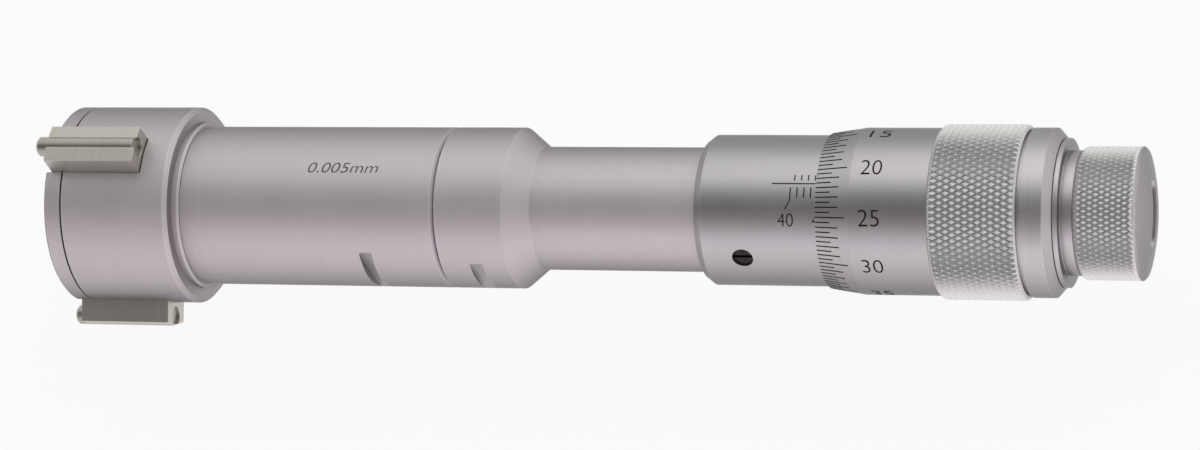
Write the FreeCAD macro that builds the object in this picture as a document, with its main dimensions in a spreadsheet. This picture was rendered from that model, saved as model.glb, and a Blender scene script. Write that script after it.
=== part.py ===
import FreeCAD
import Part
import Sketcher
import os
import re

V = FreeCAD.Vector

# Three-point inside micrometer, reading 43.715 mm, lying on its head with one anvil nearly on top.
# The long axis is X: the measuring head is at x = 0 and the ratchet knob at the far end.
# Every radius is from the axis, every station is a distance from the head's front face.
# Angles about the axis are turns from straight up towards the reader (-Y).
SIZES = {
    # how far the tool lies rolled, from one anvil straight up
    "rest_roll": 1.41,
    # measuring head
    "head_radius": 17.6,
    "head_length": 23.6,
    "head_chamfer": 0.7,
    "head_bore_radius": 11.1,
    "spigot_wall": 1.2,
    "spigot_length": 4.6,
    "fillet_ring_proud": 0.8,
    "fillet_ring_length": 1.3,
    "fillet_ring_chamfer": 0.35,
    # front cover and its screws
    "cover_thickness": 3.1,
    "cover_chamfer": 0.4,
    "cover_gap": 0.35,
    "cover_seat_radius": 15.4,
    "notch_room": 2.4,
    "cover_screw_circle": 13.4,
    "cover_screw_radius": 1.0,
    "cover_screw_head_radius": 1.9,
    "cover_screw_head_depth": 1.3,
    "cover_screw_head_length": 1.1,
    "cover_screw_length": 7.0,
    "cover_screw_slot_width": 0.5,
    "cover_screw_slot_depth": 0.5,
    # anvils and their hard pins
    "tip_radius": 21.857,
    "anvil_width": 7.0,
    "anvil_front": 1.2,
    "anvil_length": 17.0,
    "anvil_land": 2.2,
    "anvil_edge_drop": 0.6,
    "anvil_nose_depth": 8.3,
    "anvil_nose_length": 2.5,
    "anvil_clearance": 0.05,
    "anvil_end_clearance": 0.15,
    "foot_start": 13.5,
    "pin_radius": 1.75,
    "pin_proud": 0.25,
    "pin_stub": 2.1,
    "pin_chamfer": 0.4,
    "pin_recess": 0.5,
    # taper rod and its tee slots
    "taper_slope": 0.41667,
    "taper_front": 8.3,
    "taper_length": 14.6,
    "taper_front_height": 9.9,
    "taper_crown": 0.85,
    "tee_neck_width": 2.4,
    "tee_width": 4.2,
    "tee_neck_depth": 0.9,
    "tee_depth": 2.0,
    "taper_clearance": 0.03,
    "rod_radius": 3.0,
    "rod_reach": 14.7,
    # fits shared by the whole tool
    "running_fit": 0.03,
    "close_fit": 0.01,
    "face_gap": 0.1,
    "overrun": 1.0,
    # guide tube and its bush
    "tube_radius": 14.15,
    "tube_wall": 2.75,
    "tube_length": 48.7,
    "tube_chamfer": 0.5,
    "bush_offset": 12.4,
    "bush_length": 12.0,
    "joint_length": 8.0,
    "joint_wall": 1.75,
    "joint_end_room": 0.3,
    "key_slot_width": 2.35,
    "key_slot_turn": 93.0,
    "tube_slot_offset": 14.4,
    "tube_slot_depth": 1.65,
    "body_slot_offset": 5.7,
    "body_slot_depth": 0.76,
    # main body
    "joint_gap": 0.4,
    "joint_relief": 0.75,
    "barrel_length": 12.6,
    "cone_length": 4.1,
    "neck_shoulder": 0.4,
    "neck_length": 30.1,
    "sleeve_wall": 2.6,
    "core_stub": 1.0,
    "cup_room": 0.8,
    "cup_travel": 8.5,
    "spindle_room": 1.4,
    # spindle nut
    "nut_shoulder": 0.6,
    "nut_length": 13.5,
    "nut_slot_width": 1.6,
    "nut_slot_depth": 1.2,
    # scale sleeve and its lock screw
    "sleeve_radius": 13.0,
    "sleeve_length": 37.9,
    "sleeve_chamfer_length": 1.25,
    "sleeve_chamfer_drop": 0.9,
    "lock_screw_offset": 8.2,
    "lock_screw_turn": 69.4,
    "lock_screw_radius": 1.85,
    "lock_screw_recess": 0.5,
    "lock_screw_seat": 1.0,
    "lock_screw_slot_width": 0.5,
    "lock_screw_slot_depth": 0.7,
    # swivel between the taper rod and the spindle
    "cup_grip": 3.0,
    "cup_rim": 1.2,
    "cup_length": 12.0,
    "cup_wall": 1.0,
    "button_radius": 4.3,
    "button_length": 4.4,
    "button_room": 0.06,
    "ring_width": 0.9,
    "spindle_neck_radius": 2.5,
    "spindle_stub_radius": 1.6,
    "spindle_stub_length": 3.0,
    # spindle
    "thread_offset": 1.0,
    "thread_radius": 4.0,
    "seat_shoulder": 1.0,
    "seat_setback": 1.9,
    "tail_radius": 3.0,
    "tail_proud": 2.2,
    # thimble, its grip ring and end ring
    "thimble_overlap": 16.3,
    "thimble_lip": 0.25,
    "thimble_clearance": 0.1,
    "bevel_length": 6.0,
    "thimble_wall": 1.3,
    "seat_length": 10.4,
    "grip_seat_depth": 0.5,
    "thimble_length": 19.4,
    "grip_length": 15.1,
    "grip_proud": 0.65,
    "grip_chamfer": 0.65,
    "grip_gap": 0.7,
    "end_ring_wall": 1.8,
    "end_ring_seat_length": 1.5,
    "end_ring_proud": 0.1,
    "end_ring_length": 3.7,
    "end_ring_cone_length": 1.4,
    "end_ring_cone_drop": 1.6,
    "thimble_nut_radius": 8.0,
    "thimble_nut_length": 3.0,
    "thimble_nut_room": 1.0,
    # ratchet
    "wheel_gap": 0.2,
    "wheel_radius": 8.3,
    "wheel_length": 3.6,
    "wheel_teeth": 12,
    "tooth_depth": 0.8,
    "tooth_width": 2.4,
    "tooth_inner_radius": 5.2,
    "ratchet_room": 0.3,
    "wheel_lead": 0.7,
    "ratchet_neck_drop": 0.7,
    "ratchet_collar_proud": 2.05,
    "ratchet_collar_length": 3.6,
    "ratchet_cup_depth": 3.3,
    "ratchet_web_length": 3.9,
    "ratchet_core_radius": 9.0,
    "ratchet_core_length": 4.5,
    "screw_pocket_radius": 4.7,
    "screw_radius": 1.5,
    "screw_thread_length": 7.0,
    "screw_head_radius": 4.2,
    "screw_head_length": 2.0,
    "screw_slot_width": 0.8,
    "screw_slot_depth": 0.8,
    "plunger_place": 6.75,
    "plunger_radius": 1.5,
    "plunger_length": 4.3,
    "plunger_gap": 0.05,
    "spring_radius": 1.15,
    "spring_wire": 0.2,
    "spring_turns": 5,
    "knob_gap": 2.1,
    "knob_lead": 0.9,
    "knob_radius": 11.3,
    "knob_room": 0.2,
    "knob_cap": 4.4,
    "knob_rim": 0.35,
    "knob_dome": 1.5,
    "knob_slot_length": 11.8,
    "knob_slot_width": 3.4,
    "knob_slot_depth": 1.2,
    "knob_slot_turn": -60.0,
}

# Stations and radii that follow from the sizes above, in an order in which each can be worked out.
PLACES = {
    "tube_bore_radius": "tube_radius - tube_wall",
    "tube_end": "head_length + tube_length",
    "rod_end": "tube_end + rod_reach",
    "bush_start": "head_length + bush_offset",
    "joint_radius": "tube_radius - joint_wall",
    "tube_slot_start": "tube_end - tube_slot_offset",
    "body_slot_start": "tube_end + body_slot_offset",
    "cone_start": "tube_end + barrel_length",
    "cone_end": "cone_start + cone_length",
    "neck_end": "cone_end + neck_length",
    "core_radius": "sleeve_radius - sleeve_wall",
    "neck_radius": "core_radius + neck_shoulder",
    "spindle_bore_radius": "thread_radius + spindle_room",
    "sleeve_end": "neck_end + sleeve_length",
    "core_end": "sleeve_end + core_stub",
    "lock_screw_place": "neck_end + lock_screw_offset",
    "cup_start": "rod_end - cup_grip",
    "cup_bore_end": "cup_start + cup_length + cup_travel",
    "nut_end": "cup_bore_end + nut_length",
    "ring_radius": "button_radius + ring_width",
    "cup_radius": "ring_radius + cup_rim",
    "cup_bore_radius": "cup_radius + cup_room",
    "nut_radius": "cup_bore_radius - nut_shoulder",
    "thread_start": "cup_start + cup_length + thread_offset",
    "seat_radius": "thread_radius + seat_shoulder",
    "thimble_front": "sleeve_end - thimble_overlap",
    "thimble_radius": "sleeve_radius + thimble_wall",
    "grip_seat_radius": "thimble_radius - grip_seat_depth",
    "grip_start": "thimble_front + thimble_length",
    "grip_end": "grip_start + grip_length",
    "grip_radius": "thimble_radius + grip_proud",
    "end_ring_start": "grip_end + grip_gap",
    "seat_end": "end_ring_start - seat_setback",
    "thimble_web": "seat_end - seat_length",
    "end_ring_seat_radius": "thimble_radius - end_ring_wall",
    "end_ring_radius": "thimble_radius + end_ring_proud",
    "end_ring_rim": "end_ring_start + end_ring_length",
    "end_ring_end": "end_ring_rim + end_ring_cone_length",
    "end_ring_small_radius": "end_ring_radius - end_ring_cone_drop",
    "wheel_start": "end_ring_start + end_ring_seat_length + wheel_gap",
    "tail_end": "wheel_start + wheel_length + tail_proud",
    "ratchet_start": "wheel_start + wheel_lead",
    "ratchet_collar_end": "ratchet_start + ratchet_collar_length",
    "ratchet_web": "ratchet_start + ratchet_cup_depth",
    "ratchet_web_end": "ratchet_web + ratchet_web_length",
    "ratchet_core_end": "ratchet_web_end + ratchet_core_length",
    "ratchet_neck_radius": "knob_radius - ratchet_neck_drop",
    "ratchet_collar_radius": "ratchet_neck_radius + ratchet_collar_proud",
    "knob_start": "ratchet_collar_end + knob_gap",
    "knob_floor": "ratchet_core_end + knob_room",
    "knob_end": "knob_floor + knob_cap",
    "spigot_radius": "tube_bore_radius + spigot_wall",
    "fillet_ring_radius": "tube_radius + fillet_ring_proud",
}

CELLS = {name: str(value) for name, value in SIZES.items()}
CELLS.update({name: "=" + rule for name, rule in PLACES.items()})

doc = FreeCAD.newDocument("inside_micrometer")
sheet = doc.addObject("Spreadsheet::Sheet", "sizes")
for row, (alias, content) in enumerate(CELLS.items(), start=1):
    sheet.set(f"A{row}", alias)
    sheet.set(f"B{row}", content)
    sheet.setAlias(f"B{row}", alias)
doc.recompute()


def full(text):
    """The expression with each size's name written as the sheet's own cell."""
    return re.sub(r"[a-z_]+", lambda w: "sizes." * (w[0] in CELLS) + w[0], text)


def value_of(text):
    """The present value of an expression in the sizes, as a plain number."""
    found = sheet.evalExpression(full(text))
    return float(getattr(found, "Value", found))


def origin_part(body, role):
    """The body's own origin plane or axis with this role."""
    return next(part for part in body.Origin.OriginFeatures if part.Role == role)


def new_body(label):
    """An empty body that will hold one piece."""
    body = doc.addObject("PartDesign::Body", label)
    body.Label = label
    return body


def plane_sketch(body, name, role, offset):
    """A sketch on one of the body's own origin planes, lifted off it by an expression."""
    sketch = body.newObject("Sketcher::SketchObject", name)
    sketch.AttachmentSupport = (origin_part(body, role), "")
    sketch.MapMode = "FlatFace"
    if offset != "0":
        sketch.setExpression("AttachmentOffset.Base.z", full(offset))
    return sketch


def hold(sketch, element, point, place):
    """Holds one point of a sketch at a pair of expressions from its origin."""
    for kind, text, axis in (("DistanceX", place[0], -2), ("DistanceY", place[1], -1)):
        if text == "0":
            sketch.addConstraint(Sketcher.Constraint("PointOnObject", element, point, axis))
            continue
        held = sketch.addConstraint(
            Sketcher.Constraint(kind, -1, 1, element, point, value_of(text))
        )
        sketch.setExpression(f"Constraints[{held}]", full(text))


def outline_sketch(body, name, role, corners, offset="0"):
    """A closed outline of straight edges, each corner held by two expressions."""
    sketch = plane_sketch(body, name, role, offset)
    places = [V(value_of(u), value_of(v), 0) for u, v in corners]
    count = len(corners)
    for i in range(count):
        sketch.addGeometry(Part.LineSegment(places[i], places[(i + 1) % count]), False)
    for i in range(count):
        sketch.addConstraint(Sketcher.Constraint("Coincident", i, 2, (i + 1) % count, 1))
    for i, place in enumerate(corners):
        hold(sketch, i, 1, place)
    return sketch


def circle_sketch(body, name, role, centre, radius, offset="0"):
    """A circle whose centre and radius are expressions."""
    sketch = plane_sketch(body, name, role, offset)
    middle = V(value_of(centre[0]), value_of(centre[1]), 0)
    sketch.addGeometry(Part.Circle(middle, V(0, 0, 1), value_of(radius)), False)
    hold(sketch, 0, 3, centre)
    held = sketch.addConstraint(Sketcher.Constraint("Radius", 0, value_of(radius)))
    sketch.setExpression(f"Constraints[{held}]", full(radius))
    return sketch


def revolve(body, corners, name="turned"):
    """A full turn of an outline of (station, radius) corners about the long axis."""
    sketch = outline_sketch(body, name + "_outline", "XY_Plane", corners)
    turned = body.newObject("PartDesign::Revolution", name)
    turned.Profile = sketch
    turned.ReferenceAxis = (origin_part(body, "X_Axis"), [""])
    turned.Angle = 360.0
    return turned


def turned_piece(label, corners):
    """A piece turned in the lathe, as one body."""
    body = new_body(label)
    revolve(body, corners)
    return body


def extrude(body, kind, sketch, length, both_ways=False, flip=False):
    """A pad or pocket of a sketch, its length an expression."""
    feature = body.newObject(f"PartDesign::{kind}", sketch.Name.replace("outline", kind.lower()))
    feature.Profile = sketch
    feature.setExpression("Length", full(length))
    feature.Midplane = both_ways
    feature.Reversed = flip
    return feature


def rectangle(low_u, low_v, high_u, high_v):
    """The corners of an upright rectangle."""
    return [(low_u, low_v), (high_u, low_v), (high_u, high_v), (low_u, high_v)]


def pattern(body, feature, count):
    """Equal copies of a feature around the long axis."""
    ring = body.newObject("PartDesign::PolarPattern", feature.Name + "_ring")
    ring.Originals = [feature]
    ring.Axis = (origin_part(body, "X_Axis"), [""])
    ring.Angle = 360.0
    if str(count) in SIZES:
        ring.setExpression("Occurrences", full(count))
    else:
        ring.Occurrences = count
    body.Tip = ring
    return ring


def place(thing, turn="0", station="0", height="0"):
    """Turns a piece about the long axis, and moves it along and out from it."""
    thing.Placement = FreeCAD.Placement(V(0, 0, 0), FreeCAD.Rotation(V(1, 0, 0), 1))
    thing.setExpression("Placement.Rotation.Angle", full(turn))
    thing.setExpression("Placement.Base.x", full(station))
    thing.setExpression("Placement.Base.y", full(f"-({height}) * sin({turn})"))
    thing.setExpression("Placement.Base.z", full(f"({height}) * cos({turn})"))


def boolean(kind, label, base, tool):
    """One piece made from two with a Part boolean."""
    result = doc.addObject(f"Part::{kind}", label)
    result.Base = base
    result.Tool = tool
    result.Label = label
    return result


def group(label, members):
    """Separate like solids under one name."""
    result = doc.addObject("Part::MultiFuse", label)
    result.Shapes = members
    result.Label = label
    return result


ANVIL_COUNT = 3
ANVIL_STEP = 360 // ANVIL_COUNT
TAPER_END = "taper_front + taper_length"
ANVIL_END = "anvil_front + anvil_length"
PIN_HEIGHT = "tip_radius - pin_radius"
CUP_END = "cup_start + cup_length"
CAVITY_START = "rod_end + cup_wall"
BUTTON_START = "rod_end + cup_wall + button_room"
BUTTON_END = "rod_end + cup_wall + button_room + button_length"
RING_START = "rod_end + cup_wall + button_length + 2 * button_room"
WHEEL_END = "wheel_start + wheel_length"
DOME_RADIUS = "((knob_radius - knob_rim)^2 + knob_dome^2) / (2 * knob_dome)"
PLUNGER_START = "wheel_start + wheel_length + plunger_gap"


def slope(station, under="0"):
    """The height over the axis of the taper's flat at a station, less a depth."""
    return f"taper_front_height - taper_slope * ({station} - taper_front) - ({under})"


def build_head():
    """The head shell: a stepped bore and a radial way for each anvil."""
    body = new_body("head_body")
    revolve(body, [
        ("cover_thickness", "head_bore_radius"),
        ("cover_thickness", "cover_seat_radius"),
        ("cover_thickness + cover_gap", "cover_seat_radius"),
        ("cover_thickness + cover_gap", "head_radius"),
        ("head_length - head_chamfer", "head_radius"),
        ("head_length", "head_radius - head_chamfer"),
        ("head_length", "spigot_radius"),
        ("head_length - spigot_length", "spigot_radius"),
        ("head_length - spigot_length", "head_bore_radius"),
    ])
    way = outline_sketch(body, "way_outline", "XY_Plane", rectangle(
        "anvil_front - anvil_end_clearance", "-(anvil_width / 2 + anvil_clearance)",
        f"{ANVIL_END} + anvil_end_clearance", "anvil_width / 2 + anvil_clearance",
    ))
    pattern(body, extrude(body, "Pocket", way, "tip_radius", flip=True), ANVIL_COUNT)
    hole = circle_sketch(
        body, "hole_outline", "YZ_Plane", ("0", "-cover_screw_circle"),
        "cover_screw_radius + close_fit", "cover_thickness",
    )
    bore = extrude(body, "Pocket", hole, "cover_screw_length - cover_thickness + overrun", flip=True)
    pattern(body, bore, ANVIL_COUNT)
    return body


def build_cover():
    """The front cover: a chamfered disc with a notch for each anvil's nose."""
    body = new_body("front_cover")
    revolve(body, [
        ("0", "0"),
        ("0", "head_radius - cover_chamfer"),
        ("cover_chamfer", "head_radius"),
        ("cover_thickness", "head_radius"),
        ("cover_thickness", "0"),
    ])
    notch = outline_sketch(body, "notch_outline", "YZ_Plane", rectangle(
        "-(anvil_width / 2 + anvil_clearance)",
        "tip_radius - anvil_nose_depth - notch_room",
        "anvil_width / 2 + anvil_clearance",
        "tip_radius",
    ))
    pattern(body, extrude(body, "Pocket", notch, "cover_thickness", flip=True), ANVIL_COUNT)
    for name, radius, depth in (
        ("hole", "cover_screw_radius", "cover_thickness"),
        ("seat", "cover_screw_head_radius", "cover_screw_head_depth"),
    ):
        sketch = circle_sketch(
            body, name + "_outline", "YZ_Plane", ("0", "-cover_screw_circle"),
            f"{radius} + anvil_clearance",
        )
        pattern(body, extrude(body, "Pocket", sketch, depth, flip=True), ANVIL_COUNT)
    return body


def slotted_screw(name, start, head_radius, head_length, radius, length, width, depth):
    """A cheese-head screw along the axis, its slotted head at the start."""
    body = new_body(name)
    revolve(body, [
        (start, "0"),
        (start, head_radius),
        (f"{start} + {head_length}", head_radius),
        (f"{start} + {head_length}", radius),
        (f"{start} + {length}", radius),
        (f"{start} + {length}", "0"),
    ])
    slot = outline_sketch(body, name + "_slot_outline", "YZ_Plane", rectangle(
        f"-{width} / 2", f"-{head_radius}", f"{width} / 2", head_radius,
    ), start)
    extrude(body, "Pocket", slot, depth, flip=True)
    return body


def build_cover_screws():
    """Three cheese-head screws, midway between the anvils, one group."""
    screws = []
    for k in range(ANVIL_COUNT):
        screw = slotted_screw(
            f"cover_screw_{k + 1}", "cover_screw_head_depth - cover_screw_head_length",
            "cover_screw_head_radius", "cover_screw_head_length", "cover_screw_radius",
            "cover_screw_length", "cover_screw_slot_width", "cover_screw_slot_depth",
        )
        place(screw, f"{ANVIL_STEP * k + 180} deg", height="cover_screw_circle")
        screws.append(screw)
    return group("cover_screws", screws)


def build_anvil(k):
    """One anvil: a roofed block, cut to the taper's slope, with a tee foot."""
    body = new_body(f"anvil_{k + 1}")
    section = outline_sketch(body, "section_outline", "YZ_Plane", [
        ("-anvil_width / 2", slope(ANVIL_END)),
        ("anvil_width / 2", slope(ANVIL_END)),
        ("anvil_width / 2", "tip_radius - anvil_edge_drop"),
        ("anvil_land / 2", "tip_radius - pin_proud"),
        ("-anvil_land / 2", "tip_radius - pin_proud"),
        ("-anvil_width / 2", "tip_radius - anvil_edge_drop"),
    ], "anvil_front")
    extrude(body, "Pad", section, "anvil_length")
    nose_end = "anvil_front + anvil_nose_length"
    under = outline_sketch(body, "under_outline", "XZ_Plane", [
        ("anvil_front", slope(ANVIL_END, "tee_depth")),
        ("anvil_front", "tip_radius - anvil_nose_depth"),
        (nose_end, "tip_radius - anvil_nose_depth"),
        (nose_end, slope(nose_end, "-taper_clearance")),
        (ANVIL_END, slope(ANVIL_END, "-taper_clearance")),
        (ANVIL_END, slope(ANVIL_END, "tee_depth")),
    ])
    extrude(body, "Pocket", under, "anvil_width + overrun", both_ways=True)
    for name, width, high, low in (
        ("neck", "tee_neck_width", "-2 * taper_clearance", "tee_neck_depth + 2 * taper_clearance"),
        ("foot", "tee_width", "tee_neck_depth + taper_clearance", "tee_depth - taper_clearance"),
    ):
        sketch = outline_sketch(body, name + "_outline", "XZ_Plane", [
            ("foot_start", slope("foot_start", low)),
            (ANVIL_END, slope(ANVIL_END, low)),
            (ANVIL_END, slope(ANVIL_END, high)),
            ("foot_start", slope("foot_start", high)),
        ])
        extrude(body, "Pad", sketch, f"{width} - 2 * taper_clearance", both_ways=True)
    bore = circle_sketch(
        body, "bore_outline", "YZ_Plane", ("0", PIN_HEIGHT), "pin_radius + close_fit",
        "anvil_front",
    )
    extrude(body, "Pocket", bore, "anvil_length", flip=True)
    place(body, f"{ANVIL_STEP * k} + rest_roll")
    return body


def build_pin(k):
    """One hard pin, lying along the anvil's ridge with a stub at the front."""
    start = "anvil_front - pin_stub"
    end = f"{ANVIL_END} - pin_recess"
    body = turned_piece(f"anvil_pin_{k + 1}", [
        ("0", "0"),
        ("0", "pin_radius - pin_chamfer"),
        ("pin_chamfer", "pin_radius"),
        (f"{end} - ({start})", "pin_radius"),
        (f"{end} - ({start})", "0"),
    ])
    place(body, f"{ANVIL_STEP * k} + rest_roll", start, PIN_HEIGHT)
    return body


def build_taper_rod():
    """The taper: a cone with three sloping flats, each with a tee slot, and its rod."""
    body = new_body("taper_rod")
    revolve(body, [
        ("taper_front", "0"),
        ("taper_front", "taper_front_height + taper_crown"),
        (TAPER_END, slope(TAPER_END, "-taper_crown")),
        (TAPER_END, "rod_radius"),
        ("rod_end", "rod_radius"),
        ("rod_end", "0"),
    ])
    flat = outline_sketch(body, "flat_outline", "XZ_Plane", [
        ("taper_front", slope("taper_front")),
        (TAPER_END, slope(TAPER_END)),
        (TAPER_END, "head_radius"),
        ("taper_front", "head_radius"),
    ])
    pattern(body, extrude(body, "Pocket", flat, "2 * head_radius", both_ways=True), ANVIL_COUNT)
    for name, width, high, low in (
        ("neck", "tee_neck_width", "-taper_crown", "tee_neck_depth + taper_clearance"),
        ("tee", "tee_width", "tee_neck_depth", "tee_depth"),
    ):
        sketch = outline_sketch(body, name + "_outline", "XZ_Plane", [
            ("taper_front", slope("taper_front", low)),
            (TAPER_END, slope(TAPER_END, low)),
            (TAPER_END, slope(TAPER_END, high)),
            ("taper_front", slope("taper_front", high)),
        ])
        pattern(body, extrude(body, "Pocket", sketch, width, both_ways=True), ANVIL_COUNT)
    return body


def key_slots(body, radius, start, depth):
    """Two flat-bottomed slots for a pin spanner, cut straight across the tube."""
    sketch = outline_sketch(body, "key_outline", "XY_Plane", rectangle(
        start, f"-{radius}", f"{start} + key_slot_width", radius,
    ), f"{radius} - {depth}")
    pattern(body, extrude(body, "Pocket", sketch, radius, flip=True), 2)


def build_guide_tube():
    """The tube that carries the head: spigot, root ring, key slots and a rear socket."""
    body = new_body("guide_tube")
    ring_end = "head_length + fillet_ring_length"
    revolve(body, [
        ("head_length - spigot_length", "tube_bore_radius"),
        ("head_length - spigot_length", "spigot_radius - close_fit"),
        ("head_length", "spigot_radius - close_fit"),
        ("head_length", "fillet_ring_radius"),
        (f"{ring_end} - fillet_ring_chamfer", "fillet_ring_radius"),
        (ring_end, "fillet_ring_radius - fillet_ring_chamfer"),
        (ring_end, "tube_radius"),
        ("tube_end - tube_chamfer", "tube_radius"),
        ("tube_end", "tube_radius - tube_chamfer"),
        ("tube_end", "joint_radius"),
        ("tube_end - joint_length", "joint_radius"),
        ("tube_end - joint_length", "tube_bore_radius"),
    ])
    key_slots(body, "tube_radius", "tube_slot_start", "tube_slot_depth")
    place(body, "key_slot_turn + rest_roll")
    return body


def build_main_body():
    """The body: joint spigot, taper down to the neck, and the core under the scale."""
    body = new_body("main_body_turned")
    joint_start = "tube_end - joint_length + joint_end_room"
    revolve(body, [
        (joint_start, "cup_bore_radius"),
        (joint_start, "joint_radius - close_fit"),
        ("tube_end", "joint_radius - close_fit"),
        ("tube_end", "tube_radius - joint_relief"),
        ("tube_end + joint_gap", "tube_radius - joint_relief"),
        ("tube_end + joint_gap", "tube_radius"),
        ("cone_start", "tube_radius"),
        ("cone_end", "neck_radius"),
        ("neck_end", "neck_radius"),
        ("neck_end", "core_radius"),
        ("core_end", "core_radius"),
        ("core_end", "spindle_bore_radius"),
        ("nut_end", "spindle_bore_radius"),
        ("nut_end", "nut_radius"),
        ("cup_bore_end", "nut_radius"),
        ("cup_bore_end", "cup_bore_radius"),
    ])
    key_slots(body, "tube_radius", "body_slot_start", "body_slot_depth")
    place(body, "key_slot_turn")
    seat = radial_cylinder(
        "lock_seat", "lock_screw_radius", "core_radius - lock_screw_seat", "neck_radius"
    )
    return boolean("Cut", "main_body", body, seat)


def radial_cylinder(name, radius, low, high):
    """A cylinder out from the axis at the lock screw's place."""
    tool = doc.addObject("Part::Cylinder", name)
    tool.setExpression("Radius", full(radius))
    tool.setExpression("Height", full(f"{high} - ({low})"))
    place(tool, "lock_screw_turn", "lock_screw_place", low)
    return tool


def build_scale_sleeve():
    """The sleeve that carries the main scale, with its lock screw's hole."""
    body = turned_piece("scale_sleeve_turned", [
        ("neck_end", "core_radius + close_fit"),
        ("neck_end", "sleeve_radius - sleeve_chamfer_drop"),
        ("neck_end + sleeve_chamfer_length", "sleeve_radius"),
        ("sleeve_end", "sleeve_radius"),
        ("sleeve_end", "core_radius + close_fit"),
    ])
    hole = radial_cylinder(
        "lock_hole", "lock_screw_radius", "neck_radius - overrun", "sleeve_radius + overrun"
    )
    return boolean("Cut", "scale_sleeve", body, hole)


def build_lock_screw():
    """A slotted grub screw that locks the scale sleeve to the core."""
    body = new_body("lock_screw")
    low = "core_radius - lock_screw_seat"
    high = "sleeve_radius - lock_screw_recess"
    shank = circle_sketch(
        body, "shank_outline", "XY_Plane", ("0", "0"), "lock_screw_radius - close_fit", low
    )
    extrude(body, "Pad", shank, f"{high} - ({low})")
    slot = outline_sketch(body, "screwdriver_outline", "XY_Plane", rectangle(
        "-lock_screw_radius", "-lock_screw_slot_width / 2",
        "lock_screw_radius", "lock_screw_slot_width / 2",
    ), f"{high} - lock_screw_slot_depth")
    extrude(body, "Pocket", slot, "lock_screw_slot_depth", flip=True)
    place(body, "lock_screw_turn + rest_roll", "lock_screw_place")
    return body


def build_spindle_nut():
    """The nut in the body that the spindle's thread turns in, slotted for a key."""
    body = new_body("spindle_nut")
    revolve(body, [
        ("cup_bore_end", "thread_radius + running_fit"),
        ("cup_bore_end", "nut_radius - close_fit"),
        ("nut_end", "nut_radius - close_fit"),
        ("nut_end", "thread_radius + running_fit"),
    ])
    slot = outline_sketch(body, "nut_slot_outline", "YZ_Plane", rectangle(
        "-nut_slot_width / 2", "-nut_radius", "nut_slot_width / 2", "nut_radius",
    ), "cup_bore_end")
    extrude(body, "Pocket", slot, "nut_slot_depth", flip=True)
    return body


def build_ratchet_wheel():
    """The toothed wheel: saw teeth round its rear face, on the spindle's tail."""
    body = new_body("ratchet_wheel")
    revolve(body, [
        ("wheel_start", "tail_radius + close_fit"),
        ("wheel_start", "wheel_radius"),
        (WHEEL_END, "wheel_radius"),
        (WHEEL_END, "tail_radius + close_fit"),
    ])
    tooth = outline_sketch(body, "tooth_outline", "XY_Plane", [
        (WHEEL_END, "-tooth_width / 2"),
        (WHEEL_END, "tooth_width / 2"),
        (f"{WHEEL_END} - tooth_depth", "tooth_width / 2"),
    ], "tooth_inner_radius")
    pattern(body, extrude(body, "Pocket", tooth, "wheel_radius", flip=True), "wheel_teeth")
    return body


def build_ratchet_sleeve():
    """The turning sleeve of the ratchet, with the plunger's bore through it."""
    body = new_body("ratchet_sleeve")
    revolve(body, [
        ("ratchet_start", "wheel_radius + ratchet_room"),
        ("ratchet_start", "ratchet_neck_radius"),
        ("end_ring_end + face_gap", "ratchet_neck_radius"),
        ("end_ring_end + face_gap", "ratchet_collar_radius"),
        ("ratchet_collar_end", "ratchet_collar_radius"),
        ("ratchet_collar_end", "ratchet_neck_radius"),
        ("knob_start", "ratchet_neck_radius"),
        ("knob_start", "ratchet_core_radius"),
        ("ratchet_core_end", "ratchet_core_radius"),
        ("ratchet_core_end", "screw_pocket_radius"),
        ("ratchet_web_end", "screw_pocket_radius"),
        ("ratchet_web_end", "tail_radius + running_fit"),
        ("ratchet_web", "tail_radius + running_fit"),
        ("ratchet_web", "wheel_radius + ratchet_room"),
    ])
    bore = circle_sketch(
        body, "plunger_bore_outline", "YZ_Plane", ("0", "plunger_place"),
        "plunger_radius + running_fit", "ratchet_web",
    )
    extrude(body, "Pocket", bore, "ratchet_core_end - ratchet_web", flip=True)
    return body


def build_plunger():
    """The spring plunger that clicks over the wheel's teeth."""
    body = turned_piece("ratchet_plunger", rectangle("0", "0", "plunger_length", "plunger_radius"))
    place(body, "rest_roll", PLUNGER_START, "plunger_place")
    return body


def build_ratchet_screw():
    """The shouldered screw that holds the ratchet on the spindle's tail."""
    body = new_body("ratchet_screw")
    shoulder = "ratchet_web_end + face_gap"
    top = "ratchet_web_end + face_gap + screw_head_length"
    revolve(body, [
        ("tail_end - screw_thread_length", "0"),
        ("tail_end - screw_thread_length", "screw_radius"),
        ("tail_end", "screw_radius"),
        ("tail_end", "tail_radius - close_fit"),
        (shoulder, "tail_radius - close_fit"),
        (shoulder, "screw_head_radius"),
        (top, "screw_head_radius"),
        (top, "0"),
    ])
    slot = outline_sketch(body, "slot_outline", "YZ_Plane", rectangle(
        "-screw_slot_width / 2", "-screw_head_radius", "screw_slot_width / 2", "screw_head_radius",
    ), f"{top} - screw_slot_depth")
    extrude(body, "Pocket", slot, "screw_slot_depth", flip=True)
    return body


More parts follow.
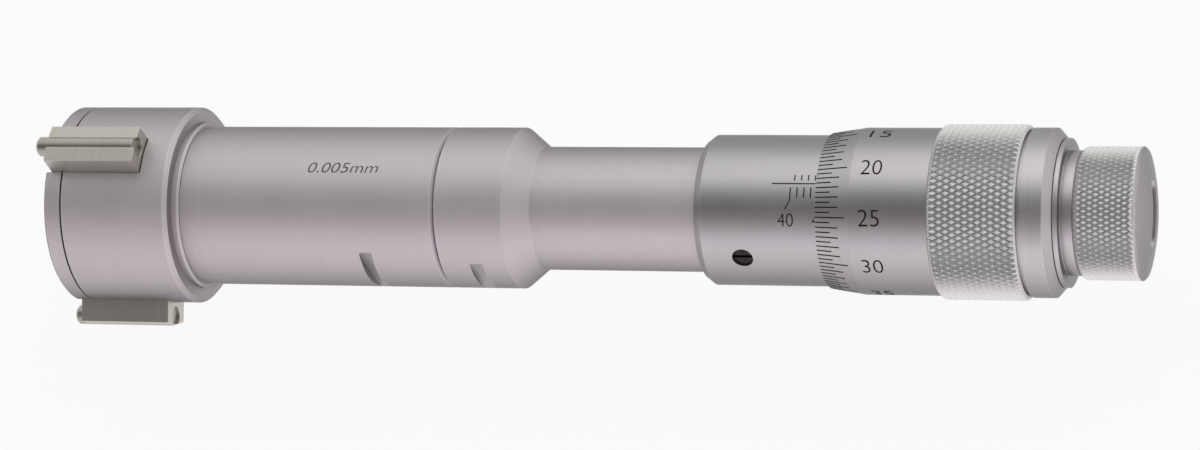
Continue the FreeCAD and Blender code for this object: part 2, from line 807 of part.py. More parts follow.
def build_spring():
    """The plunger's coil spring, a wire carried along a helix."""
    start = f"{PLUNGER_START} + plunger_length"
    helix = doc.addObject("Part::Helix", "spring_path")
    helix.setExpression("Radius", full("spring_radius"))
    rise = f"(knob_floor - ({start}) - 2 * spring_wire - 2 * plunger_gap)"
    helix.setExpression("Height", full(rise))
    helix.setExpression("Pitch", full(f"{rise} / spring_turns"))
    wire = doc.addObject("Part::Circle", "spring_section")
    wire.setExpression("Radius", full("spring_wire"))
    wire.Placement = FreeCAD.Placement(V(0, 0, 0), FreeCAD.Rotation(V(1, 0, 0), 90))
    wire.setExpression("Placement.Base.x", full("spring_radius"))
    sweep = doc.addObject("Part::Sweep", "ratchet_spring")
    sweep.Label = "ratchet_spring"
    sweep.Sections = [wire]
    sweep.Spine = (helix, ["Edge1"])
    sweep.Solid = True
    sweep.Frenet = True
    sweep.Placement = FreeCAD.Placement(V(0, 0, 0), FreeCAD.Rotation(V(0, 1, 0), 90))
    sweep.setExpression("Placement.Base.x", full(f"{start} + spring_wire + plunger_gap"))
    sweep.setExpression("Placement.Base.y", full("-plunger_place * sin(rest_roll)"))
    sweep.setExpression("Placement.Base.z", full("plunger_place * cos(rest_roll)"))
    return sweep


def build_knob():
    """The knurled cap of the ratchet, with a domed end and a coin slot."""
    turned = turned_piece("knob_turned", [
        ("knob_start + plunger_gap", "ratchet_core_radius + close_fit"),
        ("knob_start + plunger_gap", "ratchet_neck_radius"),
        ("knob_start + knob_lead", "knob_radius"),
        ("knob_end - knob_rim", "knob_radius"),
        ("knob_end", "knob_radius - knob_rim"),
        ("knob_end + knob_dome", "knob_radius - knob_rim"),
        ("knob_end + knob_dome", "0"),
        ("knob_floor", "0"),
        ("knob_floor", "ratchet_core_radius + close_fit"),
    ])
    ball = doc.addObject("Part::Sphere", "knob_ball")
    ball.setExpression("Radius", full(DOME_RADIUS))
    ball.setExpression("Placement.Base.x", full(f"knob_end + knob_dome - {DOME_RADIUS}"))
    domed = boolean("Common", "knob_domed", turned, ball)
    slot = new_body("coin_slot")
    reach = "(knob_slot_length - knob_slot_width) / 2"
    low = "knob_end + knob_dome - knob_slot_depth"
    middle = outline_sketch(slot, "slot_outline", "YZ_Plane", rectangle(
        "-knob_slot_width / 2", f"-{reach}", "knob_slot_width / 2", reach,
    ), low)
    extrude(slot, "Pad", middle, "knob_dome + knob_slot_depth")
    for name, side in (("upper", reach), ("lower", f"-{reach}")):
        end = circle_sketch(
            slot, name + "_outline", "YZ_Plane", ("0", side), "knob_slot_width / 2", low
        )
        extrude(slot, "Pad", end, "knob_dome + knob_slot_depth")
    place(slot, "knob_slot_turn")
    return boolean("Cut", "ratchet_knob", domed, slot)


def build_pieces():
    """Every piece of the tool, in the order in which they lie along the axis."""
    pieces = [build_head(), build_cover(), build_cover_screws()]
    pieces += [build_anvil(k) for k in range(ANVIL_COUNT)]
    pieces += [build_pin(k) for k in range(ANVIL_COUNT)]
    pieces += [
        build_taper_rod(),
        build_guide_tube(),
        turned_piece("guide_bush", rectangle(
            "bush_start", "rod_radius + running_fit",
            "bush_start + bush_length", "tube_bore_radius - close_fit",
        )),
        build_main_body(),
        build_spindle_nut(),
        build_scale_sleeve(),
        build_lock_screw(),
        turned_piece("swivel_cup", [
            ("cup_start", "rod_radius + close_fit"),
            ("cup_start", "cup_radius"),
            (CUP_END, "cup_radius"),
            (CUP_END, "ring_radius"),
            (RING_START, "ring_radius"),
            (RING_START, "button_radius + button_room"),
            (CAVITY_START, "button_radius + button_room"),
            (CAVITY_START, "0"),
            ("rod_end", "0"),
            ("rod_end", "rod_radius + close_fit"),
        ]),
        turned_piece("swivel_ring", rectangle(
            RING_START, "spindle_neck_radius + running_fit",
            CUP_END, "ring_radius - close_fit",
        )),
        turned_piece("swivel_button", rectangle(
            BUTTON_START, "spindle_stub_radius + close_fit",
            BUTTON_END, "button_radius",
        )),
        turned_piece("spindle", [
            (f"{BUTTON_END} - spindle_stub_length", "0"),
            (f"{BUTTON_END} - spindle_stub_length", "spindle_stub_radius"),
            (BUTTON_END, "spindle_stub_radius"),
            (BUTTON_END, "spindle_neck_radius"),
            ("thread_start", "spindle_neck_radius"),
            ("thread_start", "thread_radius"),
            ("thimble_web", "thread_radius"),
            ("thimble_web", "seat_radius"),
            ("seat_end", "seat_radius"),
            ("seat_end", "tail_radius"),
            ("tail_end", "tail_radius"),
            ("tail_end", "screw_radius + close_fit"),
            ("tail_end - screw_thread_length", "screw_radius + close_fit"),
            ("tail_end - screw_thread_length", "0"),
        ]),
        turned_piece("thimble_shell", [
            ("thimble_front", "sleeve_radius + thimble_clearance"),
            ("thimble_front", "sleeve_radius + thimble_clearance + thimble_lip"),
            ("thimble_front + bevel_length", "thimble_radius"),
            ("grip_start", "thimble_radius"),
            ("grip_start", "grip_seat_radius"),
            ("end_ring_start", "grip_seat_radius"),
            ("end_ring_start", "end_ring_seat_radius"),
            ("end_ring_start + end_ring_seat_length", "end_ring_seat_radius"),
            ("end_ring_start + end_ring_seat_length", "thimble_nut_radius + thimble_nut_room"),
            ("seat_end", "thimble_nut_radius + thimble_nut_room"),
            ("seat_end", "seat_radius + close_fit"),
            ("thimble_web", "seat_radius + close_fit"),
            ("thimble_web", "sleeve_radius + thimble_clearance"),
        ]),
        turned_piece("grip_ring", [
            ("grip_start", "grip_seat_radius + close_fit"),
            ("grip_start", "grip_radius - grip_chamfer"),
            ("grip_start + grip_chamfer", "grip_radius"),
            ("grip_end - grip_chamfer", "grip_radius"),
            ("grip_end", "grip_radius - grip_chamfer"),
            ("grip_end", "grip_seat_radius + close_fit"),
        ]),
        turned_piece("end_ring", [
            ("end_ring_start", "end_ring_seat_radius + close_fit"),
            ("end_ring_start", "end_ring_radius"),
            ("end_ring_rim", "end_ring_radius"),
            ("end_ring_end", "end_ring_small_radius"),
            ("end_ring_end", "ratchet_neck_radius + plunger_gap"),
            ("end_ring_start + end_ring_seat_length + close_fit",
             "ratchet_neck_radius + plunger_gap"),
            ("end_ring_start + end_ring_seat_length + close_fit",
             "end_ring_seat_radius + close_fit"),
        ]),
        turned_piece("thimble_nut", rectangle(
            "seat_end", "tail_radius + close_fit",
            "seat_end + thimble_nut_length", "thimble_nut_radius",
        )),
        build_ratchet_wheel(),
        build_ratchet_sleeve(),
        build_plunger(),
        build_spring(),
        build_ratchet_screw(),
        build_knob(),
    ]
    for piece in pieces:
        if not piece.ExpressionEngine:
            place(piece, "rest_roll")
    return pieces


def finish(pieces):
    """Checks every object and each piece, then writes one file for each piece."""
    doc.recompute()
    for thing in doc.Objects:
        if {"Invalid", "Error"} & set(thing.State):
            raise SystemExit(f"{thing.Label} did not build: {thing.State}")
    os.makedirs("parts", exist_ok=True)
    for piece in pieces:
        if piece.Shape.isNull() or not piece.Shape.isValid():
            raise SystemExit(f"{piece.Label} is not a valid solid")
        piece.Shape.exportStep(f"parts/{piece.Label}.step")
        box = piece.Shape.BoundBox
        print(f"{piece.Label:16s} x {box.XMin:7.2f} to {box.XMax:7.2f}  {piece.Shape.Volume:9.1f}")


finish(build_pieces())
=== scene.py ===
"""The looks of a three-point inside micrometer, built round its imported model.

Lengths are in millimetres until a mesh is made. A place on a round piece is its station along X,
its radius, and its turn about X, counted from straight up towards the reader (-Y).
"""

import math

import bmesh
import bpy
import numpy as np
from mathutils import Matrix, Vector


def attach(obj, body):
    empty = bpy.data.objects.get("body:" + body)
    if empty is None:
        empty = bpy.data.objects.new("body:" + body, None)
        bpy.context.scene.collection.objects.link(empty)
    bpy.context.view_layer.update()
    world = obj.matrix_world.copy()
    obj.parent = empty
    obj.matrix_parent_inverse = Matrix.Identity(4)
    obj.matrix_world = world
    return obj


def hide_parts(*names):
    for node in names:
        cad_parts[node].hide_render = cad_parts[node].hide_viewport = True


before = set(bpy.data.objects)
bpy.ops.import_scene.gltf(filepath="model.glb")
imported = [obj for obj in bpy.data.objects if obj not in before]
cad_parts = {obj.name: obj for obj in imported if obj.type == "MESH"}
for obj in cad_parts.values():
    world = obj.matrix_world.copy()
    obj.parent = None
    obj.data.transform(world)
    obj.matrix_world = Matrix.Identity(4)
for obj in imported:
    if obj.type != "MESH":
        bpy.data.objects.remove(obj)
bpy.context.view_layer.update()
MM = 0.001

# Where the photograph was taken from. At rest the object lies rolled about its long axis, and
# the camera is rolled round with it.
ROLL_TO_REST = 58.59
CAMERA_YAW = 17.8
CAMERA_TWIST = 0.6
CAMERA_DISTANCE = 709.1
CAMERA_FOCUS = 4058.0
AIM_STATION = 98.5
AIM_RISE = 16.3
PHOTO_WIDTH = 1200.0

HEAD_RADIUS = 17.6
SLEEVE_RADIUS = 13.0
TUBE_RADIUS = 14.15

# The thimble's bevel and the scales that meet at its edge.
BEVEL_START = 140.7
BEVEL_LENGTH = 6.0
BEVEL_RADIUS = 13.35
THIMBLE_RADIUS = 14.3
READING = 43.715
SCALE_LOW = 40
SCALE_STEP = 1.2
SCALE_START = BEVEL_START - (READING - SCALE_LOW) * SCALE_STEP
DATUM_ANGLE = 20.2
THIMBLE_AT_DATUM = 21.5
DEGREES_A_DIVISION = 7.2
LINE_WIDTH = 0.2
INK_RISE = 0.02
INK_ROOT = 0.06

# Marks of the sleeve: stations of the datum line's ends, then angles above the camera's level.
DATUM_ENDS = (132.9, 156.6)
MILLIMETRE_MARK = (17.3, 9.4)
HALF_MARK = (27.3, 22.7)
FIGURE_STEM = (9.5, 7.4)
FIGURE_BRANCH = (7.45, 0.5)
BRANCH_SHIFT = -0.85
SLEEVE_FIGURE = {"size": (2.73, 2.27), "shift": -0.75, "angle": -7.4}

# Marks of the thimble: where they end along it, and its figures.
DIVISION_ROOT = BEVEL_START + 0.03
HALF_END = 143.35
WHOLE_END = 144.8
FIFTH_END = 146.0
THIMBLE_FIGURE = {"one": (1.65, 2.85), "two": (3.63, 2.85), "station": 150.25}

TUBE_VALUE = {"size": (13.1, 2.0), "station": 55.2, "angle": 28.4, "lean": 0.2}
STROKE_THINNING = 0.012

GRIP = {"start": 160.1, "end": 175.2, "crest": 14.95, "bore": 13.81, "chamfer": 0.65,
        "starts": 84, "pitch": 2.2, "depth": 0.42}
KNOB = {"start": 184.05, "lead": 184.9, "end": 194.27, "crest": 11.3, "neck": 10.6,
        "starts": 72, "pitch": 1.95, "depth": 0.38, "run_out": 0.6}


# ---- shapes

def facing(angle):
    """The turn of a place that stands this angle above the camera's own level."""
    return 90.0 - ROLL_TO_REST - angle


def on_axis(station, radius, turn):
    """Points at a station, radius and turn in degrees: y = -r sin(turn), z = r cos(turn)."""
    station, radius, turn = np.broadcast_arrays(station, radius, np.radians(turn))
    return np.stack([station, -radius * np.sin(turn), radius * np.cos(turn)], axis=-1)


def grid_faces(rows, columns, loop=False):
    """Quads between neighbours of a grid: its rows close round, and in a loop its columns too."""
    r = np.arange(rows if loop else rows - 1)[:, None]
    c = np.arange(columns)[None, :]
    below, beside = (r + 1) % rows, (c + 1) % columns
    quads = [r * columns + c, r * columns + beside, below * columns + beside, below * columns + c]
    return np.stack(quads, axis=-1).reshape(-1, 4)


def piece(name, points, faces, smooth=True):
    """An object whose mesh holds these points, given in millimetres, and these faces."""
    mesh = bpy.data.meshes.new(name)
    places = np.asarray(points).reshape(-1, 3) * MM
    mesh.from_pydata(places.tolist(), [], np.asarray(faces).tolist())
    mesh.polygons.foreach_set("use_smooth", np.full(len(mesh.polygons), smooth))
    mesh.update()
    made = bpy.data.objects.new(name, mesh)
    bpy.context.scene.collection.objects.link(made)
    return made


def knurl(station, turn, size):
    """Radius of a diamond knurl: two helical families of V grooves cross, the lower one counts.

    Each family's height is |2 frac(a) - 1| with a = starts * turn / 360 +- station / pitch,
    flattened at the crest, so the radius is crest - depth * (1 - height).
    """
    round_count = size["starts"] * turn / 360.0
    along = (station - size["start"]) / size["pitch"]
    families = [np.abs(2.0 * np.mod(round_count + side * along, 1.0) - 1.0) for side in (1, -1)]
    height = np.minimum(np.minimum(*families) / 0.8, 1.0)
    return size["crest"] - size["depth"] * (1.0 - height)


def knurl_grid(low, high, size):
    """Stations and turns fine enough for eight steps over each groove, both ways."""
    rows = int(round((high - low) / size["pitch"] * 8)) + 1
    columns = size["starts"] * 8
    station = np.linspace(low, high, rows)[:, None]
    turn = np.arange(columns)[None, :] * 360.0 / columns
    return station, turn


def mark_grooves(made, grooves):
    """Keeps each point's depth in the knurl, from 0 on a crest to 1 in a groove, for the painted
    shade in its grooves.
    """
    depths = np.zeros(len(made.data.vertices))
    depths[:grooves.size] = grooves.ravel()
    made.data.attributes.new("groove", "FLOAT", "POINT").data.foreach_set("value", depths)


def make_grip():
    """The grip ring: a knurl under two 45 degree chamfers, closed by its ends and bore."""
    low, high, chamfer = GRIP["start"], GRIP["end"], GRIP["chamfer"]
    station, turn = knurl_grid(low, high, GRIP)
    cap = GRIP["crest"] - chamfer + np.minimum(station - low, high - station)
    radius = np.minimum(knurl(station, turn, GRIP), cap)
    outside = on_axis(station, radius, turn)
    bore = on_axis(np.array([[high], [low]]), GRIP["bore"], turn)
    points = np.concatenate([outside, bore])
    made = piece("grip_knurl", points, grid_faces(*points.shape[:2], loop=True), False)
    mark_grooves(made, (GRIP["crest"] - knurl(station, turn, GRIP)) / GRIP["depth"])
    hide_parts("grip_ring")
    return made


def make_knob():
    """The ratchet knob: its solid with the plain outside taken off and a knurl put there.

    The knurl is cut through the lead cone, and its grooves run out before the end.
    """
    low, high = KNOB["start"], KNOB["end"]
    station, turn = knurl_grid(low, high, KNOB)
    rise = (KNOB["crest"] - KNOB["neck"]) / (KNOB["lead"] - low)
    cap = np.minimum(KNOB["neck"] - 0.02 + rise * (station - low), KNOB["crest"])
    run_out = np.clip((high - station) / KNOB["run_out"], 0.0, 1.0)
    cut = KNOB["crest"] - (KNOB["crest"] - knurl(station, turn, KNOB)) * run_out
    points = on_axis(station, np.minimum(cut, cap), turn)
    band = piece("knob_knurl", points, grid_faces(*points.shape[:2]), False)
    mark_grooves(band, (KNOB["crest"] - cut) / KNOB["depth"])

    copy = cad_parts["ratchet_knob"].data.copy()
    edit = bmesh.new()
    edit.from_mesh(copy)
    bmesh.ops.remove_doubles(edit, verts=edit.verts, dist=0.001 * MM)
    edge = (KNOB["neck"] - 0.1) * MM
    plain = [
        face for face in edit.faces
        if all(v.co.x < high * MM and math.hypot(v.co.y, v.co.z) > edge for v in face.verts)
    ]
    bmesh.ops.delete(edit, geom=plain, context="FACES")
    edit.to_mesh(copy)
    edit.free()
    rest = bpy.data.objects.new("knob_end", copy)
    bpy.context.scene.collection.objects.link(rest)
    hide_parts("ratchet_knob")
    return band, rest


def slabs(name, marks, radius_at, steps=4):
    """Ink-filled lines as thin curved slabs, all in one mesh.

    A mark is (low station, high station, low turn, high turn, shift): its corners lie on the
    surface radius_at(station), and shift moves its far end along the axis in proportion.
    """
    marks = np.asarray(marks, dtype=float)
    share = np.linspace(0.0, 1.0, steps + 1)
    turn = marks[:, 2, None] + (marks[:, 3] - marks[:, 2])[:, None] * share
    shift = marks[:, 4, None] * share
    stations = np.stack([marks[:, 0, None] + shift, marks[:, 1, None] + shift], axis=-1)
    points = np.stack([
        on_axis(stations, radius_at(stations) + rise, turn[..., None])
        for rise in (INK_RISE, -INK_ROOT)
    ], axis=2)
    one = []
    for s in range(steps):
        a, b = s * 4, s * 4 + 4
        one += [[a, b, b + 1, a + 1], [a + 3, b + 3, b + 2, a + 2],
                [a + 2, b + 2, b, a], [a + 1, b + 1, b + 3, a + 3]]
    last = steps * 4
    one += [[0, 1, 3, 2], [last + 2, last + 3, last + 1, last]]
    faces = np.asarray(one)[None] + (np.arange(len(marks)) * (steps + 1) * 4)[:, None, None]
    return piece(name, points, faces.reshape(-1, 4), False)


def lettering(name, text, size, station, angle_turn, radius_at, lean=0.0):
    """Figures wrapped on a round piece: along the axis one way, round it the other."""
    width, height = size
    curve = bpy.data.curves.new(name, "FONT")
    curve.body = text
    curve.extrude = 0.5
    curve.offset = -STROKE_THINNING
    curve.resolution_u = 6
    curve.shear = lean
    flat = bpy.data.objects.new(name + "_flat", curve)
    bpy.context.scene.collection.objects.link(flat)
    solved = flat.evaluated_get(bpy.context.evaluated_depsgraph_get())
    mesh = bpy.data.meshes.new_from_object(solved)
    bpy.data.objects.remove(flat)
    edit = bmesh.new()
    edit.from_mesh(mesh)
    for share in np.linspace(-0.2, 1.2, 29):
        parts = edit.verts[:] + edit.edges[:] + edit.faces[:]
        bmesh.ops.bisect_plane(edit, geom=parts, plane_co=(0, share, 0), plane_no=(0, 1, 0))
    bmesh.ops.triangulate(edit, faces=edit.faces)
    edit.to_mesh(mesh)
    edit.free()
    co = np.empty(len(mesh.vertices) * 3)
    mesh.vertices.foreach_get("co", co)
    co = co.reshape(-1, 3)
    low, high = co.min(axis=0), co.max(axis=0)
    place = (co - (low + high) / 2) / (high - low)
    along = station + place[:, 0] * width
    base = radius_at(along)
    radius = base + np.where(place[:, 2] > 0, INK_RISE, -INK_ROOT)
    turn = angle_turn - np.degrees(place[:, 1] * height / base)
    mesh.vertices.foreach_set("co", (on_axis(along, radius, turn) * MM).ravel())
    mesh.name = name
    mesh.update()
    made = bpy.data.objects.new(name, mesh)
    bpy.context.scene.collection.objects.link(made)
    return made


def sleeve_radius(station):
    """The sleeve's radius, the same at every station."""
    return np.full_like(station, SLEEVE_RADIUS)


def tube_radius(station):
    """The guide tube's radius, the same at every station."""
    return np.full_like(station, TUBE_RADIUS)


def thimble_radius(station):
    """The thimble's radius: a straight bevel up to the full radius."""
    share = np.clip((station - BEVEL_START) / BEVEL_LENGTH, 0.0, 1.0)
    return BEVEL_RADIUS + (THIMBLE_RADIUS - BEVEL_RADIUS) * share


def make_main_scale():
    """The sleeve's scale: a datum line, millimetre marks below it and half marks above.

    Every fifth millimetre has a stem and a branch down to its figure.
    """
    half = math.degrees(LINE_WIDTH / 2 / SLEEVE_RADIUS)
    datum = facing(DATUM_ANGLE)
    marks = [(*DATUM_ENDS, datum - half, datum + half, 0.0)]
    labels = []
    for n in range(11):
        station = SCALE_START + n * SCALE_STEP
        low, high = station - LINE_WIDTH / 2, station + LINE_WIDTH / 2
        marks.append((low, high, *map(facing, MILLIMETRE_MARK), 0.0))
        if n < 10:
            middle = SCALE_STEP / 2
            marks.append((low + middle, high + middle, *map(facing, HALF_MARK), 0.0))
        if n % 5 == 0:
            marks.append((low, high, *map(facing, FIGURE_STEM), 0.0))
            marks.append((low, high, *map(facing, FIGURE_BRANCH), BRANCH_SHIFT))
            label = str(SCALE_LOW + n)
            labels.append(lettering(
                "scale_" + label, label, SLEEVE_FIGURE["size"], station + SLEEVE_FIGURE["shift"],
                facing(SLEEVE_FIGURE["angle"]), sleeve_radius,
            ))
    return [slabs("main_scale", marks, sleeve_radius)] + labels


def make_thimble_scale():
    """The thimble's hundred divisions on the bevel, and a figure at every fifth number."""
    half = math.degrees(LINE_WIDTH / 2 / BEVEL_RADIUS)
    marks = []
    labels = []
    for n in range(100):
        number = n / 2
        turn = facing(DATUM_ANGLE) + (number - THIMBLE_AT_DATUM) * DEGREES_A_DIVISION
        end = HALF_END if n % 2 else FIFTH_END if n % 10 == 0 else WHOLE_END
        marks.append((DIVISION_ROOT, end, turn - half, turn + half, 0.0))
        if n % 10 == 0:
            label = str(n // 2)
            size = THIMBLE_FIGURE["two" if n >= 20 else "one"]
            labels.append(lettering(
                "thimble_" + label, label, size, THIMBLE_FIGURE["station"], turn, thimble_radius,
            ))
    return [slabs("thimble_scale", marks, thimble_radius, steps=1)] + labels


# ---- finishes

def sockets(tree, inputs, outputs):
    """The named sockets of a node group, each with its kind and its value at rest."""
    kinds = {"value": "NodeSocketFloat", "colour": "NodeSocketColor", "vector": "NodeSocketVector"}
    for name, kind, value in inputs:
        made = tree.interface.new_socket(name=name, in_out="INPUT", socket_type=kinds[kind])
        made.default_value = value
    for name, kind in outputs:
        tree.interface.new_socket(name=name, in_out="OUTPUT", socket_type=kinds[kind])
    return tree.nodes.new("NodeGroupInput"), tree.nodes.new("NodeGroupOutput")


def node(tree, kind, links=None, **settings):
    """A node with its settings, and each of its inputs linked or given a value."""
    made = tree.nodes.new(kind)
    for name, value in settings.items():
        setattr(made, name, value)
    for socket, value in (links or {}).items():
        if hasattr(value, "is_output"):
            tree.links.new(value, made.inputs[socket])
        else:
            made.inputs[socket].default_value = value
    return made


def make_lathe_group():
    """Turned metal: fine rings round the X axis, a slow cloudiness, and small handling scuffs."""
    tree = bpy.data.node_groups.new("lathe_work", "ShaderNodeTree")
    ins, outs = sockets(tree, [
        ("Metal", "colour", (0.6, 0.6, 0.6, 1)), ("Shade", "colour", (0.5, 0.5, 0.5, 1)),
        ("Roughness", "value", 0.3), ("Spread", "value", 0.08), ("Rings", "value", 2600.0),
    ], [("Colour", "colour"), ("Roughness", "value"), ("Height", "value")])
    place = node(tree, "ShaderNodeTexCoord").outputs["Object"]
    split = node(tree, "ShaderNodeSeparateXYZ", {"Vector": place})
    along = node(tree, "ShaderNodeMath", {0: split.outputs["X"], 1: ins.outputs["Rings"]},
                 operation="MULTIPLY")
    across = node(tree, "ShaderNodeVectorMath", {0: place, 1: (0.0, 70.0, 70.0)},
                  operation="MULTIPLY")
    stretched = node(tree, "ShaderNodeCombineXYZ", {"X": along.outputs[0]})
    joined = node(tree, "ShaderNodeVectorMath",
                  {0: across.outputs[0], 1: stretched.outputs[0]}, operation="ADD")
    rings = node(tree, "ShaderNodeTexNoise",
                 {"Vector": joined.outputs[0], "Scale": 1.0, "Detail": 3.0, "Roughness": 0.6})
    cloud = node(tree, "ShaderNodeTexNoise", {"Vector": place, "Scale": 90.0, "Detail": 3.0})
    scuff = node(tree, "ShaderNodeTexNoise",
                 {"Vector": place, "Scale": 900.0, "Detail": 4.0, "Roughness": 0.7})
    both = node(tree, "ShaderNodeMath", {0: rings.outputs["Fac"], 1: cloud.outputs["Fac"]},
                operation="ADD")
    share = node(tree, "ShaderNodeMapRange",
                 {"Value": both.outputs[0], "From Min": 0.75, "From Max": 1.3})
    colour = node(tree, "ShaderNodeMix", {"Factor": share.outputs[0], 6: ins.outputs["Shade"],
                                          7: ins.outputs["Metal"]}, data_type="RGBA")
    mixed = node(tree, "ShaderNodeMath", {0: scuff.outputs["Fac"], 1: cloud.outputs["Fac"]},
                 operation="MULTIPLY")
    centred = node(tree, "ShaderNodeMath", {0: mixed.outputs[0], 1: 0.25}, operation="SUBTRACT")
    swing = node(tree, "ShaderNodeMath", {0: centred.outputs[0], 1: ins.outputs["Spread"]},
                 operation="MULTIPLY")
    rough = node(tree, "ShaderNodeMath", {0: swing.outputs[0], 1: ins.outputs["Roughness"]},
                 operation="ADD", use_clamp=True)
    tree.links.new(colour.outputs[2], outs.inputs["Colour"])
    tree.links.new(rough.outputs[0], outs.inputs["Roughness"])
    tree.links.new(rings.outputs["Fac"], outs.inputs["Height"])
    return tree


def make_edge_group():
    """Softened edges: the normal of a small bevel, and a mask that is 1 along the edges, which
    places a painted highlight.
    """
    tree = bpy.data.node_groups.new("softened_edges", "ShaderNodeTree")
    ins, outs = sockets(tree, [("Radius", "value", 0.0002)],
                        [("Normal", "vector"), ("Edge", "value")])
    bevel = node(tree, "ShaderNodeBevel", {"Radius": ins.outputs["Radius"]}, samples=6)
    flat = node(tree, "ShaderNodeNewGeometry")
    meet = node(tree, "ShaderNodeVectorMath",
                {0: bevel.outputs["Normal"], 1: flat.outputs["Normal"]}, operation="DOT_PRODUCT")
    edge = node(tree, "ShaderNodeMapRange", {"Value": meet.outputs["Value"], "From Min": 0.995,
                                             "From Max": 0.9, "To Min": 0.0, "To Max": 1.0})
    tree.links.new(bevel.outputs["Normal"], outs.inputs["Normal"])
    tree.links.new(edge.outputs[0], outs.inputs["Edge"])
    return tree


LATHE = make_lathe_group()
EDGES = make_edge_group()


def worked_metal(name, metal, shade, roughness, spread=0.2, rings=2600.0, depth=0.03, edge=0.0002,
                 painted_rim_shade=1.0, groove=1.0):
    """A metal with lathe or grinding marks, and a painted highlight along its edges.

    Painted shade darkens its colour where it turns away from the view and in the grooves of a
    knurl, each down to a share that its arguments give.
    """
    material = bpy.data.materials.new(name)
    material.use_nodes = True
    tree = material.node_tree
    shader = tree.nodes["Principled BSDF"]
    shader.inputs["Metallic"].default_value = 1.0
    work = node(tree, "ShaderNodeGroup", node_tree=LATHE)
    for socket, value in (("Metal", (*metal, 1)), ("Shade", (*shade, 1)), ("Roughness", roughness),
                          ("Spread", spread), ("Rings", rings)):
        work.inputs[socket].default_value = value
    soft = node(tree, "ShaderNodeGroup", node_tree=EDGES)
    soft.inputs["Radius"].default_value = edge
    # Painted highlight: the colour is brightened by 35 per cent along the edges.
    painted_edge_highlight = tuple(min(1.0, c * 1.35) for c in metal)
    colour = node(tree, "ShaderNodeMix", {"Factor": soft.outputs["Edge"], 6: work.outputs["Colour"],
                                          7: (*painted_edge_highlight, 1)}, data_type="RGBA")
    bump = node(tree, "ShaderNodeBump", {"Strength": depth, "Distance": 0.0001,
                                         "Height": work.outputs["Height"],
                                         "Normal": soft.outputs["Normal"]})
    # Painted shade: the colour darkens as the surface turns away from the view.
    away = node(tree, "ShaderNodeLayerWeight", {"Blend": 0.5})
    painted_shade = node(tree, "ShaderNodeMapRange", {"Value": away.outputs["Facing"], "From Min": 0.12,
                                            "From Max": 0.8, "To Min": 1.0, "To Max": painted_rim_shade})
    # Painted shade in the knurl's grooves, darker the deeper the point lies.
    if groove < 1.0:
        deep = node(tree, "ShaderNodeAttribute", attribute_name="groove")
        painted_groove_shade = node(tree, "ShaderNodeMapRange", {"Value": deep.outputs["Fac"], "From Min": 0.15,
                                                 "From Max": 0.85, "To Min": 1.0, "To Max": groove})
        painted_shade = node(tree, "ShaderNodeMath", {0: painted_shade.outputs[0], 1: painted_groove_shade.outputs[0]},
                   operation="MULTIPLY")
    toned = node(tree, "ShaderNodeVectorMath", {0: colour.outputs[2], "Scale": painted_shade.outputs[0]},
                 operation="SCALE")
    tree.links.new(toned.outputs[0], shader.inputs["Base Color"])
    tree.links.new(work.outputs["Roughness"], shader.inputs["Roughness"])
    tree.links.new(bump.outputs["Normal"], shader.inputs["Normal"])
    return material


def ink(name, dark, pale):
    """Paint in an engraved line, a little uneven in shade."""
    material = bpy.data.materials.new(name)
    material.use_nodes = True
    tree = material.node_tree
    shader = tree.nodes["Principled BSDF"]
    shader.inputs["Roughness"].default_value = 0.8
    shader.inputs["Specular IOR Level"].default_value = 0.15
    place = node(tree, "ShaderNodeTexCoord").outputs["Object"]
    wear = node(tree, "ShaderNodeTexNoise", {"Vector": place, "Scale": 1400.0, "Detail": 3.0})
    share = node(tree, "ShaderNodeMapRange",
                 {"Value": wear.outputs["Fac"], "From Min": 0.45, "From Max": 0.75})
    colour = node(tree, "ShaderNodeMix", {"Factor": share.outputs[0], 6: (*dark, 1), 7: (*pale, 1)},
                  data_type="RGBA")
    tree.links.new(colour.outputs[2], shader.inputs["Base Color"])
    return material


# Each worked metal carries painted shade where it turns away from the view and in knurl grooves,
# and a painted highlight along its edges.
FINISHES = {
    "matt_chrome": worked_metal("matt_chrome", (0.80, 0.735, 0.77), (0.765, 0.70, 0.735), 0.58,
                                painted_rim_shade=0.36),
    "satin_chrome": worked_metal("satin_chrome", (0.72, 0.67, 0.70), (0.65, 0.61, 0.635), 0.38,
                                 painted_rim_shade=0.28),
    "scale_chrome": worked_metal("scale_chrome", (0.64, 0.595, 0.625), (0.605, 0.565, 0.59), 0.34,
                                 rings=3400.0, depth=0.025, painted_rim_shade=0.16),
    "knurl_chrome": worked_metal("knurl_chrome", (0.97, 0.945, 0.945), (0.92, 0.895, 0.895), 0.36,
                                 rings=1500.0, depth=0.03, edge=0.00005, painted_rim_shade=0.6, groove=0.82),
    "ground_anvil": worked_metal("ground_anvil", (0.64, 0.605, 0.56), (0.56, 0.53, 0.49), 0.45,
                                 rings=5200.0, depth=0.05),
    "hard_pin": worked_metal("hard_pin", (0.50, 0.47, 0.43), (0.42, 0.40, 0.36), 0.34),
    "black_screw": worked_metal("black_screw", (0.06, 0.055, 0.05), (0.035, 0.03, 0.03), 0.42),
    "bright_steel": worked_metal("bright_steel", (0.56, 0.55, 0.55), (0.47, 0.46, 0.46), 0.3),
    "turned_bronze": worked_metal("turned_bronze", (0.68, 0.47, 0.23), (0.56, 0.38, 0.18), 0.34),
    "black_ink": ink("black_ink", (0.012, 0.012, 0.012), (0.03, 0.03, 0.03)),
    "grey_etch": ink("grey_etch", (0.12, 0.105, 0.105), (0.19, 0.17, 0.17)),
}
